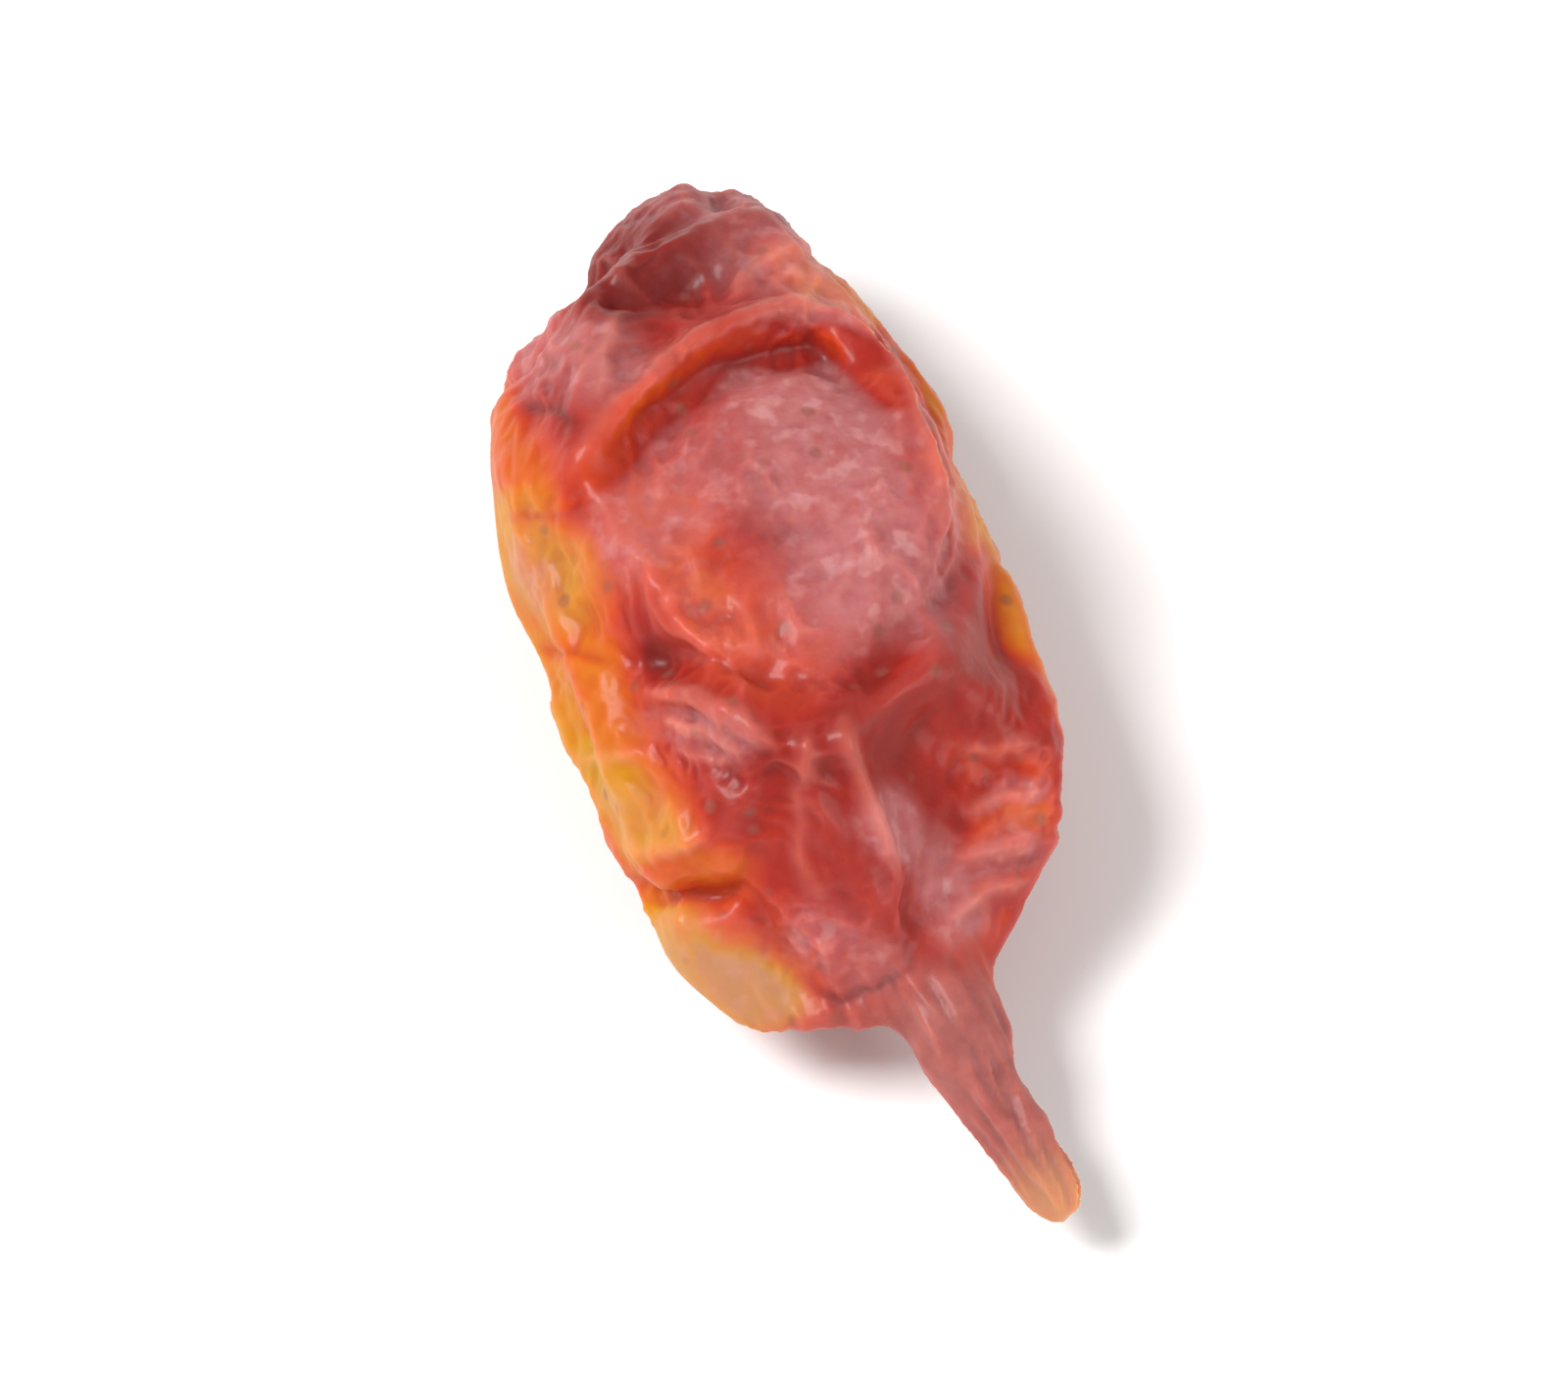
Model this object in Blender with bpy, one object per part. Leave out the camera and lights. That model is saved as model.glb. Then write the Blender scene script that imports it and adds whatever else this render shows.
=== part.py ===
"""A dried sea buckthorn berry lying on its side: one collapsed skin over its seed, and its stalk."""

import math

import bmesh
import bpy
import numpy as np
from mathutils import Vector, noise

# Lengths are in millimetres and angles in degrees up to the mesh, which is in metres
# The long axis runs along Y with the stalk towards -Y, and the floor is at zero
MM = 0.001

# Brings the middle of the bounding box over the origin
PLACE = np.array([0.073, 0.773, 0.0])

# Mesh
GRID_CUTS = 64
TRIANGLES_KEPT = 0.218
SHARP_EDGE = math.radians(50)

# The plump berry, before it dries
CENTRE = np.array([-0.2, 0.0, 1.62])
PLUMP = np.array([2.35, 4.85, 1.80])
PLUMP_RIDGE = 0.03

# How the facets meet: their corners' sharpness, the pinched-up edge's width, and the sag's margin
CORNER_SHARPNESS = 42
PINCH_WIDTH = 0.2
SAG_WIDTH = 0.8
LEAST_SLOPE = 0.04
OUT_OF_REACH = 99.0

# The seed holds the skin up from inside, and the calyx end keeps a round knob
SEED_CENTRE = np.array([0.30, 0.25, 0.05])
SEED_HALF = np.array([1.66, 2.45, 1.40])
SEED_BLEND = 0.34
KNOB_CENTRE = np.array([0.34, 3.29, -0.20])
KNOB_HALF = np.array([1.0, 0.93, 0.88])
KNOB_BLEND = 0.2

# The stalk, with the middles of its cross sections and their radii
STALK_MIDDLES = np.array(
    [
        (0.51, -3.87, 1.16),
        (0.60, -4.40, 1.02),
        (0.77, -4.87, 0.86),
        (0.94, -5.37, 0.76),
        (0.99, -5.55, 0.72),
    ]
)
STALK_RADII = [0.40, 0.295, 0.26, 0.225, 0.20]
STALK_RIBS = 5
RIB_DEPTH = 0.12
RIB_TWIST = 2
RIB_START = 1 / 3
TIP_LENGTH = 0.2
TIP_SHARE = 0.16
CURVE_STEP = 0.01

# Where the stalk grows out of the skin: its neck tube, and the rings of mesh round it
NECK_RADIUS = 0.40
NECK_OVERRUN = 0.1
NECK_BLEND = 0.8
NECK_FADE = 0.35
STALK_GROWN = 0.35
STALK_CONE = math.radians(30)
RING_CROWDING = 1.1

# Uneven drying: how far the facets and folds wander, and how finely
WANDERS = [(0.06, 0.45, 1), (0.03, 1.3, 2)]
FOLD_WANDER = (0.035, 1.1, 3)
WANDER_SEED = 6
DRAW_STEP = Vector((7.3, 3.1, -5.7))

# How the skin's normals are found, and which of its points are seen along the sight line
NORMAL_STEP = 0.035
CROSS_NUDGE = np.array([0.013, 0.007, 0.011])
SIGHT_RAYS = 16000
LEAST_FACING = 0.02

# The sight line along which the outline and the upper folds are measured
SIGHT_BEARING = math.radians(-14.4)
SIGHT_TILT = math.radians(60)
RIGHTWARD = np.array([math.cos(SIGHT_BEARING), math.sin(SIGHT_BEARING), 0.0])
TOWARDS = np.array(
    [
        math.sin(SIGHT_BEARING) * math.cos(SIGHT_TILT),
        -math.cos(SIGHT_BEARING) * math.cos(SIGHT_TILT),
        math.sin(SIGHT_TILT),
    ]
)
UPWARD = np.cross(TOWARDS, RIGHTWARD)

# Facets along the outline: two ends of the edge seen, how far inside it, sag, ridge height
OUTLINE_FACETS = {
    "cap_edge": ((-1.45, 4.30), (-0.29, 4.42), 0.14, 0.05, 0.05),
    "upper_right": ((-0.23, 4.36), (0.99, 3.14), 0.10, 0.06, 0.06),
    "right_high": ((0.90, 3.20), (1.80, 1.22), 0.05, 0.07, 0.07),
    "right_low": ((1.92, 1.22), (2.47, -0.93), 0.10, 0.07, 0.07),
    "right_front": ((2.47, -1.08), (1.63, -2.56), 0.08, 0.12, 0.07),
    "front_low": ((1.05, -2.94), (-0.41, -2.79), -0.52, 0.08, 0.05),
    "left_corner": ((-0.29, -2.76), (-1.22, -1.63), 0.06, 0.05, 0.03),
    "left_low": ((-1.19, -1.63), (-2.23, 0.87), 0.23, 0.05, 0.03),
    "left_high": ((-2.23, 0.87), (-2.43, 2.15), 0.10, 0.05, 0.03),
    "left_side_high": ((-2.43, 2.15), (-2.27, 2.91), 0.0, 0.05, 0.03),
    "left_back": ((-2.27, 2.91), (-1.57, 3.60), 0.0, 0.06, 0.04),
}

# Other facets: bearing from +Y towards +X, tilt, distance from the centre, sag, ridge height
FACETS = {
    "plateau": (60, 83, 1.34, 0.10, 0.08),
    "cap_slope": (-14, 42, 3.02, 0.06, 0.08),
    "left_shoulder": (-60, 44, 2.22, 0.12, 0.04),
    "left_slope": (-104, 42, 1.70, 0.10, 0.02),
    "left_under": (-97, -40, 1.52, 0.14, 0.03),
    "front_left": (-152, 36, 2.44, 0.10, 0.08),
    "front_right": (146, 44, 2.28, 0.18, 0.08),
    "right_slope": (88, 40, 1.72, 0.16, 0.06),
    "right_under": (92, -44, 1.50, 0.12, 0.05),
    "back_under": (5, -55, 2.25, 0.08, 0.05),
    "front_under": (178, -58, 2.44, 0.10, 0.05),
    "belly": (0, -90, 1.62, 0.0, 0.0),
}

# Folds as seen along the sight line: height, width, points to the right and up
FOLDS_SEEN = {
    "rim": (
        0.29,
        0.15,
        [(-1.92, 1.86), (-1.60, 2.21), (-1.10, 2.73), (-0.64, 3.15), (-0.23, 3.35), (0.29, 3.43)]
        + [(0.74, 3.30), (0.99, 2.98), (1.16, 2.55), (1.34, 2.05), (1.47, 1.55), (1.55, 1.05)],
    ),
    "rim_groove": (
        -0.17,
        0.17,
        [(-1.45, 1.69), (-1.10, 2.12), (-0.64, 2.59), (-0.17, 2.88), (0.29, 2.94)]
        + [(0.55, 2.76), (0.78, 2.42)],
    ),
    "knob_groove": (-0.28, 0.18, [(-1.58, 3.56), (-1.25, 3.42), (-0.85, 3.50), (-0.40, 3.66)]),
    "knob_ridge": (0.10, 0.12, [(-0.35, 3.49), (-0.15, 3.69), (0.12, 3.87)]),
    "plateau_swell": (0.07, 0.30, [(-0.75, 1.55), (-0.25, 2.05), (0.30, 2.25)]),
    "plateau_ripple": (0.06, 0.14, [(0.98, 2.15), (0.78, 1.62), (0.86, 1.05)]),
    "plateau_dent": (-0.10, 0.30, [(0.20, 1.60), (0.35, 1.00)]),
    "ring_dimple": (-0.12, 0.17, [(-0.85, 0.95), (-0.55, 0.72), (-0.25, 0.85)]),
    "left_valley": (-0.12, 0.26, [(-1.98, 1.80), (-1.86, 1.28), (-1.69, 0.81), (-1.45, 0.47)]),
    "waist_crease": (-0.19, 0.17, [(-1.74, 0.32), (-0.87, 0.44), (-0.41, 0.32), (0.47, 0.12)]),
    "waist_lip": (0.14, 0.11, [(-1.16, 0.15), (-0.70, 0.09), (-0.29, -0.12), (0.0, -0.35)]),
    "waist_lip_low": (0.08, 0.10, [(-0.99, -0.17), (-0.52, -0.29), (-0.17, -0.52)]),
    "waist_right": (-0.20, 0.22, [(0.47, 0.12), (0.81, 0.35), (1.16, 0.70), (1.45, 1.05)]),
    "keel": (0.24, 0.15, [(0.49, 0.23), (0.58, -0.17), (0.78, -0.76), (1.08, -1.45), (1.34, -2.56)]),
    "keel_left": (0.09, 0.16, [(-0.17, -0.47), (-0.35, -0.99), (-0.49, -1.51)]),
    "front_hollow": (-0.07, 0.30, [(0.23, -0.47), (0.35, -1.05), (0.52, -1.51)]),
    "corner_crease": (-0.18, 0.13, [(-1.30, -1.58), (-0.99, -1.62), (-0.52, -1.57), (-0.23, -1.45)]),
    "corner_valley": (-0.12, 0.16, [(-0.23, -1.51), (0.0, -2.03), (0.23, -2.62)]),
    "wedge": (0.08, 0.15, [(-1.26, -1.26), (-0.93, -1.19), (-0.52, -0.99), (-0.23, -0.70)]),
    "bump": (0.18, 0.22, [(0.29, -1.92), (0.47, -2.09), (0.70, -2.21)]),
    "bump_crease": (-0.12, 0.12, [(0.17, -2.34), (0.52, -2.45), (0.87, -2.36), (1.10, -2.18)]),
    "right_ridge": (0.10, 0.20, [(1.74, 1.22), (1.57, 0.70), (1.34, 0.06), (1.45, -0.47)]),
    "right_hollow": (-0.16, 0.36, [(1.05, 0.0), (1.40, -0.35), (1.57, -0.70)]),
    "right_pleat": (0.12, 0.11, [(2.34, -0.87), (2.03, -0.90), (1.57, -1.05)]),
    "right_pleat_mid": (0.14, 0.11, [(2.30, -1.16), (1.92, -1.16), (1.45, -1.28)]),
    "right_pleat_low": (0.08, 0.11, [(2.20, -1.45), (1.80, -1.54), (1.45, -1.72)]),
}

# Folds out of that sight: height, width, points as bearing and tilt from the centre
FOLDS_ROUND = {
    "left_wing": (
        0.25,
        0.24,
        [(-44, 2), (-54, 0), (-66, -2), (-85, -4), (-103, -5), (-120, -7), (-135, -8), (-147, -9)]
        + [(-157, -9), (-165, -10)],
    ),
    "right_wing": (0.20, 0.26, [(66, 6), (84, 7), (102, 6), (118, 5), (133, 3), (143, -1)]),
    "knob_notch": (-0.30, 0.17, [(-34, -24), (-32, -8), (-29, 6), (-22, 18)]),
    "left_pleat": (0.08, 0.12, [(-68, 8), (-66, 26), (-62, 42)]),
    "left_pleat_low": (0.06, 0.12, [(-92, 8), (-88, 26), (-83, 42)]),
    "right_fold": (0.22, 0.17, [(158, -8), (130, -15), (98, -17), (66, -12), (38, -9), (20, -12)]),
    "right_furrow": (-0.16, 0.20, [(148, 8), (112, 11), (82, 5), (56, 9), (36, 5)]),
    "right_low": (0.14, 0.15, [(166, -24), (132, -38), (96, -43), (62, -37), (36, -26)]),
    "right_bridge": (0.10, 0.13, [(86, -17), (80, -28), (84, -42)]),
    "left_fold": (0.16, 0.17, [(-163, -20), (-134, -30), (-98, -35), (-64, -30), (-34, -24), (-14, -20)]),
    "left_furrow": (-0.16, 0.20, [(-152, -11), (-118, -17), (-88, -19), (-56, -14), (-34, -9)]),
    "left_bridge": (0.10, 0.13, [(-74, -14), (-70, -30), (-78, -46)]),
    "back_fold": (0.14, 0.15, [(20, 6), (36, -3), (50, -10), (62, -22), (68, -36)]),
    "back_furrow": (-0.16, 0.17, [(28, 22), (44, 14), (60, 4)]),
    "back_low": (0.14, 0.15, [(-26, -24), (-8, -30), (14, -30), (34, -30)]),
    "back_pleat": (0.12, 0.13, [(6, -12), (12, -28), (20, -44)]),
    "calyx_pit": (-0.22, 0.14, [(6, -2), (8, -2)]),
    "calyx_lip": (0.07, 0.09, [(1, 2), (7, 4), (12, -1), (9, -7), (3, -6)]),
    "belly_right": (-0.22, 0.20, [(162, -44), (130, -58), (82, -60), (42, -50), (22, -38)]),
    "belly_left": (-0.20, 0.18, [(-168, -46), (-128, -58), (-82, -62), (-40, -52), (-22, -40)]),
    "belly_cross": (-0.14, 0.16, [(112, -40), (150, -50), (-165, -54), (-130, -44)]),
    "front_fold": (0.14, 0.14, [(178, -16), (172, -34), (158, -52)]),
    "front_furrow": (-0.15, 0.18, [(-166, -14), (-156, -34), (-138, -50)]),
}

# Short pleats that meet at the calyx: its bearing and tilt, the pleats' turns, and their ends
CALYX = (7, -2)
CALYX_TURNS = (15, 70, 138, 190, 252, 305)
CALYX_PLEAT = (-0.12, 0.11)
CALYX_ENDS = (4, 17)

# A fold's share of its height at its ends, how far the ends reach, and how sharp a ridge is
FOLD_END_HEIGHT = 0.25
FOLD_FADE = 0.22
RIDGE_ROUNDING = 0.01
RIDGE_POWER = 0.7

# The share of its height at which a ridge and a groove are seen
RIDGE_SEEN_AT = 0.85
GROOVE_SEEN_AT = 0.5

# Skin, as colour, roughness and metallic value
SKIN_COLOUR = (0.46, 0.10, 0.05, 1.0)
SKIN_ROUGHNESS = 0.36
SKIN_METALLIC = 0.0


def unit(vectors):
    return vectors / np.linalg.norm(vectors, axis=-1, keepdims=True)


def ease(share):
    share = np.clip(share, 0, 1)
    return share * share * (3 - 2 * share)


def heading(bearing, tilt):
    bearing = math.radians(bearing)
    tilt = math.radians(tilt)
    level = math.cos(tilt)
    return np.array([level * math.sin(bearing), level * math.cos(bearing), math.sin(tilt)])


def soft_max(a, b, blend):
    share = np.clip(0.5 + 0.5 * (a - b) / blend, 0, 1)
    return b * (1 - share) + a * share + blend * share * (1 - share)


def drift(points, amount, scale, seed):
    """Smooth pseudo-random vectors at these points."""
    return amount * np.array([noise.noise_vector(Vector(p) * scale + seed * DRAW_STEP) for p in points])


STALK_AXIS = unit(STALK_MIDDLES[0] - CENTRE)
NECK_REACH = float(np.linalg.norm(STALK_MIDDLES[0] - CENTRE))
NECK_ANGLE = math.asin(NECK_RADIUS / NECK_REACH)


def outline_facet(start, end, inset, sag, ridge):
    """The facet that holds the sight line and this edge of the outline, which runs clockwise."""
    start = np.array(start)
    along = unit(np.array(end) - start)
    outward = np.array([-along[1], along[0]])
    middle = np.array([CENTRE @ RIGHTWARD, CENTRE @ UPWARD])
    normal = outward[0] * RIGHTWARD + outward[1] * UPWARD
    return normal, float((start - middle) @ outward) - inset, sag, ridge


def all_facets():
    seen = [outline_facet(*row) for row in OUTLINE_FACETS.values()]
    others = [(heading(b, t), distance, sag, ridge) for b, t, distance, sag, ridge in FACETS.values()]
    return seen + others


def bag_radius(rays):
    """The plump berry cut by its facets, each sagging inside and pinched up where two meet."""
    reaches = [1 / np.linalg.norm(rays / PLUMP, axis=1)]
    sags = [0.0]
    ridges = [PLUMP_RIDGE]
    for normal, distance, sag, ridge in all_facets():
        slope = rays @ normal
        reach = distance / np.maximum(slope, LEAST_SLOPE)
        reaches.append(np.where(slope > LEAST_SLOPE, reach, OUT_OF_REACH))
        sags.append(sag)
        ridges.append(ridge)
    reaches = np.array(reaches)
    nearest = np.argsort(reaches, axis=0)[:2]
    gap = np.diff(np.take_along_axis(reaches, nearest, 0), axis=0)[0]
    sag = np.array(sags)[nearest[0]]
    ridge = np.array(ridges)[nearest].min(axis=0)
    radius = (reaches**-CORNER_SHARPNESS).sum(axis=0) ** (-1 / CORNER_SHARPNESS)
    radius -= sag * (1 - np.exp(-((gap / SAG_WIDTH) ** 2)))
    return radius + ridge * np.exp(-((gap / PINCH_WIDTH) ** 2))


def bulge_radius(rays, middle, half):
    """How far along each ray the surface of this ellipsoid lies, or 0 where the ray misses it."""
    a = ((rays / half) ** 2).sum(axis=1)
    b = -2 * (rays * middle / half**2).sum(axis=1)
    c = ((middle / half) ** 2).sum() - 1
    inside = b * b - 4 * a * c
    return np.where(inside > 0, (np.sqrt(np.maximum(inside, 0)) - b) / (2 * a), 0)


def neck_radius(rays):
    """A short tube round the stalk's axis."""
    forward = rays @ STALK_AXIS
    across = np.sqrt(np.maximum(1 - forward**2, 1e-9))
    tube = np.where(forward > 0, NECK_RADIUS / across, 0.0)
    return np.minimum(tube, NECK_REACH + NECK_OVERRUN)


def draped_radius(rays, wander):
    radius = bag_radius(unit(rays + wander))
    radius = soft_max(radius, bulge_radius(rays, SEED_CENTRE, SEED_HALF), SEED_BLEND)
    radius = soft_max(radius, bulge_radius(rays, KNOB_CENTRE, KNOB_HALF), KNOB_BLEND)
    return soft_max(radius, neck_radius(rays), NECK_BLEND)


def off_stalk(rays):
    """0 on the stalk's own ring and 1 on the body."""
    turn = np.arccos(np.clip(rays @ STALK_AXIS, -1, 1))
    return ease((turn - NECK_ANGLE) / NECK_FADE)


def skin(rays):
    """The draped skin, before its folds, as offsets from the centre."""
    still = CENTRE + rays * draped_radius(rays, 0 * rays)[:, None]
    wander = sum(drift(still, *row) for row in WANDERS) * off_stalk(rays)[:, None]
    return rays * draped_radius(rays, wander)[:, None]


def skin_normals(rays):
    first = unit(np.cross(rays, STALK_AXIS + CROSS_NUDGE))
    second = np.cross(rays, first)
    along_first = skin(unit(rays + NORMAL_STEP * first)) - skin(unit(rays - NORMAL_STEP * first))
    along_second = skin(unit(rays + NORMAL_STEP * second)) - skin(unit(rays - NORMAL_STEP * second))
    normals = unit(np.cross(along_first, along_second))
    return normals * np.sign((normals * rays).sum(axis=1))[:, None]


def even_rays(count):
    """Directions spread evenly all round."""
    rank = np.arange(count) + 0.5
    height = 1 - 2 * rank / count
    turn = rank * math.pi * (3 - math.sqrt(5))
    level = np.sqrt(1 - height**2)
    return np.stack([level * np.cos(turn), level * np.sin(turn), height], axis=1)


def seen_routes():
    """Lays each fold that was measured along the sight line on the skin that it is seen on."""
    rays = even_rays(SIGHT_RAYS)
    points = skin(rays) + CENTRE
    normals = skin_normals(rays)
    facing = normals @ TOWARDS > LEAST_FACING
    points = points[facing]
    normals = normals[facing]
    routes = []
    for height, width, marks in FOLDS_SEEN.values():
        raised = points + normals * height * (RIDGE_SEEN_AT if height > 0 else GROOVE_SEEN_AT)
        across = raised @ RIGHTWARD
        up = raised @ UPWARD
        hits = [int(np.argmin((across - x) ** 2 + (up - y) ** 2)) for x, y in marks]
        routes.append((height, width, points[hits]))
    return routes


def calyx_pleats():
    pleats = []
    for turn in CALYX_TURNS:
        aside = math.cos(math.radians(turn))
        rise = math.sin(math.radians(turn))
        marks = [(CALYX[0] + reach * aside, CALYX[1] + reach * rise) for reach in CALYX_ENDS]
        pleats.append((*CALYX_PLEAT, marks))
    return pleats


def round_routes():
    routes = []
    for height, width, marks in [*FOLDS_ROUND.values(), *calyx_pleats()]:
        rays = np.array([heading(*mark) for mark in marks])
        routes.append((height, width, skin(rays) + CENTRE))
    return routes


def fold_height(points, height, width, route):
    """How far one fold lifts or sinks the skin at these points."""
    lengths = np.linalg.norm(np.diff(route, axis=0), axis=1)
    nearest = np.full(len(points), np.inf)
    travelled = np.zeros(len(points))
    done = 0.0
    for start, end, length in zip(route[:-1], route[1:], lengths):
        if length > 0:
            share = np.clip((points - start) @ (end - start) / length**2, 0, 1)
            away = np.linalg.norm(points - start - share[:, None] * (end - start), axis=1)
            closer = away < nearest
            nearest = np.where(closer, away, nearest)
            travelled = np.where(closer, done + share * length, travelled)
            done += length
    travelled /= done
    to_end = np.minimum(travelled, 1 - travelled)
    fade = FOLD_END_HEIGHT + (1 - FOLD_END_HEIGHT) * ease(to_end / FOLD_FADE)
    if height > 0:
        return height * fade * np.exp(-(((nearest / width) ** 2 + RIDGE_ROUNDING) ** RIDGE_POWER))
    return height * fade * np.exp(-((nearest / width) ** 2))


def body_points(rays):
    base = skin(rays)
    points = base + CENTRE
    wandered = points + drift(points, *FOLD_WANDER)
    lift = sum(fold_height(wandered, *route) for route in seen_routes() + round_routes())
    return points + skin_normals(rays) * (lift * off_stalk(rays))[:, None]


def curve_points(knots, shares):
    """Points of a smooth curve through the knots."""
    padded = np.vstack([2 * knots[0] - knots[1], knots, 2 * knots[-1] - knots[-2]])
    spans = len(knots) - 1
    place = np.clip(shares * spans, 0, spans - 1e-9)
    first = place.astype(int)
    t = (place - first)[:, None]
    p0, p1, p2, p3 = (padded[first + i] for i in range(4))
    bend = 2 * p0 - 5 * p1 + 4 * p2 - p3
    twist = 3 * p1 - p0 - 3 * p2 + p3
    return 0.5 * (2 * p1 + (p2 - p0) * t + bend * t**2 + twist * t**3)


def stalk_points(ring, around, shares):
    """The stalk grows out of the body's ring, bends along its curve and ends in a blunt tip."""
    along = np.minimum(shares / (1 - TIP_SHARE), 1)
    tip = np.clip((shares - 1 + TIP_SHARE) / TIP_SHARE, 0, 1) * math.pi / 2
    grown = ease(along / STALK_GROWN)
    out = ring @ STALK_AXIS
    ring_radius = np.linalg.norm(ring - out[:, None] * STALK_AXIS, axis=1)
    radius = np.interp(along, np.linspace(0, 1, len(STALK_RADII)), STALK_RADII)
    ribs = RIB_DEPTH * np.clip(along / RIB_START, 0, 1) * np.clip((1 - shares) / TIP_SHARE, 0, 1)
    radius *= 1 + ribs * np.cos(STALK_RIBS * around + RIB_TWIST * along)
    radius = (ring_radius * (1 - grown) + radius * grown) * np.cos(tip)
    path = curve_points(STALK_MIDDLES - STALK_MIDDLES[0], along)
    ahead = curve_points(STALK_MIDDLES, np.minimum(along + CURVE_STEP, 1))
    behind = curve_points(STALK_MIDDLES, np.maximum(along - CURVE_STEP, 0))
    tangent = unit(ahead - behind)
    side, up = cross_frame(STALK_AXIS)
    bent_side, bent_up = cross_frame(tangent)
    side = unit(side * (1 - grown[:, None]) + bent_side * grown[:, None])
    up = unit(up * (1 - grown[:, None]) + bent_up * grown[:, None])
    start = CENTRE + STALK_AXIS * (out * (1 - grown) + NECK_REACH * grown)[:, None]
    spoke = np.cos(around)[:, None] * side + np.sin(around)[:, None] * up
    return start + path + spoke * radius[:, None] + tangent * (np.sin(tip) * TIP_LENGTH)[:, None]


def cross_frame(forward):
    """Two directions across this one, the first of them level."""
    side = unit(np.cross(forward, [0.0, 0.0, 1.0]))
    return side, np.cross(side, forward)


def berry_points(sphere):
    """Maps a unit sphere, whose -Z pole becomes the stalk's tip, to the berry."""
    fall = np.arccos(np.clip(-sphere[:, 2], -1, 1))
    around = np.arctan2(sphere[:, 1], sphere[:, 0])
    share = np.clip((fall - STALK_CONE) / (math.pi - STALK_CONE), 0, 1)
    turn = NECK_ANGLE + (math.pi - NECK_ANGLE) * share**RING_CROWDING
    side, up = cross_frame(STALK_AXIS)
    spoke = np.cos(around)[:, None] * side + np.sin(around)[:, None] * up
    rays = np.cos(turn)[:, None] * STALK_AXIS + np.sin(turn)[:, None] * spoke
    points = body_points(rays)
    on_stalk = fall < STALK_CONE
    ring = points[on_stalk] - CENTRE
    points[on_stalk] = stalk_points(ring, around[on_stalk], 1 - fall[on_stalk] / STALK_CONE)
    points[:, 2] = np.maximum(points[:, 2], 0)
    return points + PLACE


def skin_material():
    material = bpy.data.materials.new("skin")
    material.use_nodes = True
    shader = material.node_tree.nodes["Principled BSDF"]
    shader.inputs["Base Color"].default_value = SKIN_COLOUR
    shader.inputs["Roughness"].default_value = SKIN_ROUGHNESS
    shader.inputs["Metallic"].default_value = SKIN_METALLIC
    material.diffuse_color = SKIN_COLOUR
    return material


def berry_mesh():
    """A finely divided cube, rounded to a sphere and then shaped to the berry."""
    shape = bmesh.new()
    bmesh.ops.create_cube(shape, size=2)
    bmesh.ops.subdivide_edges(shape, edges=shape.edges, cuts=GRID_CUTS, use_grid_fill=True)
    corners = np.array([vertex.co for vertex in shape.verts])
    sphere = unit(np.tan(corners * math.pi / 4))
    for vertex, point in zip(shape.verts, berry_points(sphere) * MM):
        vertex.co = point
    mesh = bpy.data.meshes.new("berry")
    shape.to_mesh(mesh)
    shape.free()
    mesh.shade_smooth()
    mesh.set_sharp_from_angle(angle=SHARP_EDGE)
    return mesh


def main():
    for thing in list(bpy.data.objects):
        bpy.data.objects.remove(thing)
    noise.seed_set(WANDER_SEED)
    mesh = berry_mesh()
    mesh.materials.append(skin_material())
    berry = bpy.data.objects.new("berry", mesh)
    thin = berry.modifiers.new("thin_out", "DECIMATE")
    thin.ratio = TRIANGLES_KEPT
    group = bpy.data.collections.new("dried_sea_buckthorn_berry")
    bpy.context.scene.collection.children.link(group)
    group.objects.link(berry)


main()
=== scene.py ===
"""The looks of a dried sea buckthorn berry: its finely wrinkled, translucent skin on a white ground."""

import math

import bmesh
import bpy
import numpy as np
from mathutils import Matrix, Vector, noise
from mathutils.bvhtree import BVHTree


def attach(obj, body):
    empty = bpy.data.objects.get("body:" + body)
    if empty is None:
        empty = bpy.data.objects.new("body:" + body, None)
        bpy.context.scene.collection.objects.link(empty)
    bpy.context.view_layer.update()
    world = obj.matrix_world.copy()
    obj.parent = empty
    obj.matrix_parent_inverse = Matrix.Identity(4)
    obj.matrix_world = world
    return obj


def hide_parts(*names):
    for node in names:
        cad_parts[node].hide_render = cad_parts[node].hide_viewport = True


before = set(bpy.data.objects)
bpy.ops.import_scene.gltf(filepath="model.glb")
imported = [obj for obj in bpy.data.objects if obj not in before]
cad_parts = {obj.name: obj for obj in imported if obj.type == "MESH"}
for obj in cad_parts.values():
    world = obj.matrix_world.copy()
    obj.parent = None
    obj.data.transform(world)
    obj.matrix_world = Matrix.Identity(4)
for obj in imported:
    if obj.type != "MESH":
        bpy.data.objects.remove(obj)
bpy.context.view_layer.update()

# Shapes are worked out in millimetres and set down in metres
MM = 0.001

# The camera looks down on the berry along the photograph's line of sight
PHOTO_SIZE = (1600, 1420)
SIGHT_BEARING = math.radians(-14.4)
SIGHT_TILT = math.radians(60)
VIEW_HEIGHT = 11.8
CAMERA_DISTANCE = 150.0
SENSOR_WIDTH = 36.0
RIGHTWARD = np.array([math.cos(SIGHT_BEARING), math.sin(SIGHT_BEARING), 0.0])
TOWARDS = np.array(
    [
        math.sin(SIGHT_BEARING) * math.cos(SIGHT_TILT),
        -math.cos(SIGHT_BEARING) * math.cos(SIGHT_TILT),
        math.sin(SIGHT_TILT),
    ]
)
UPWARD = np.cross(TOWARDS, RIGHTWARD)

# The fine surface
WELD_DISTANCE = 0.0005
GRAIN = 0.036
EVENING_ROUNDS = 3

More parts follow.
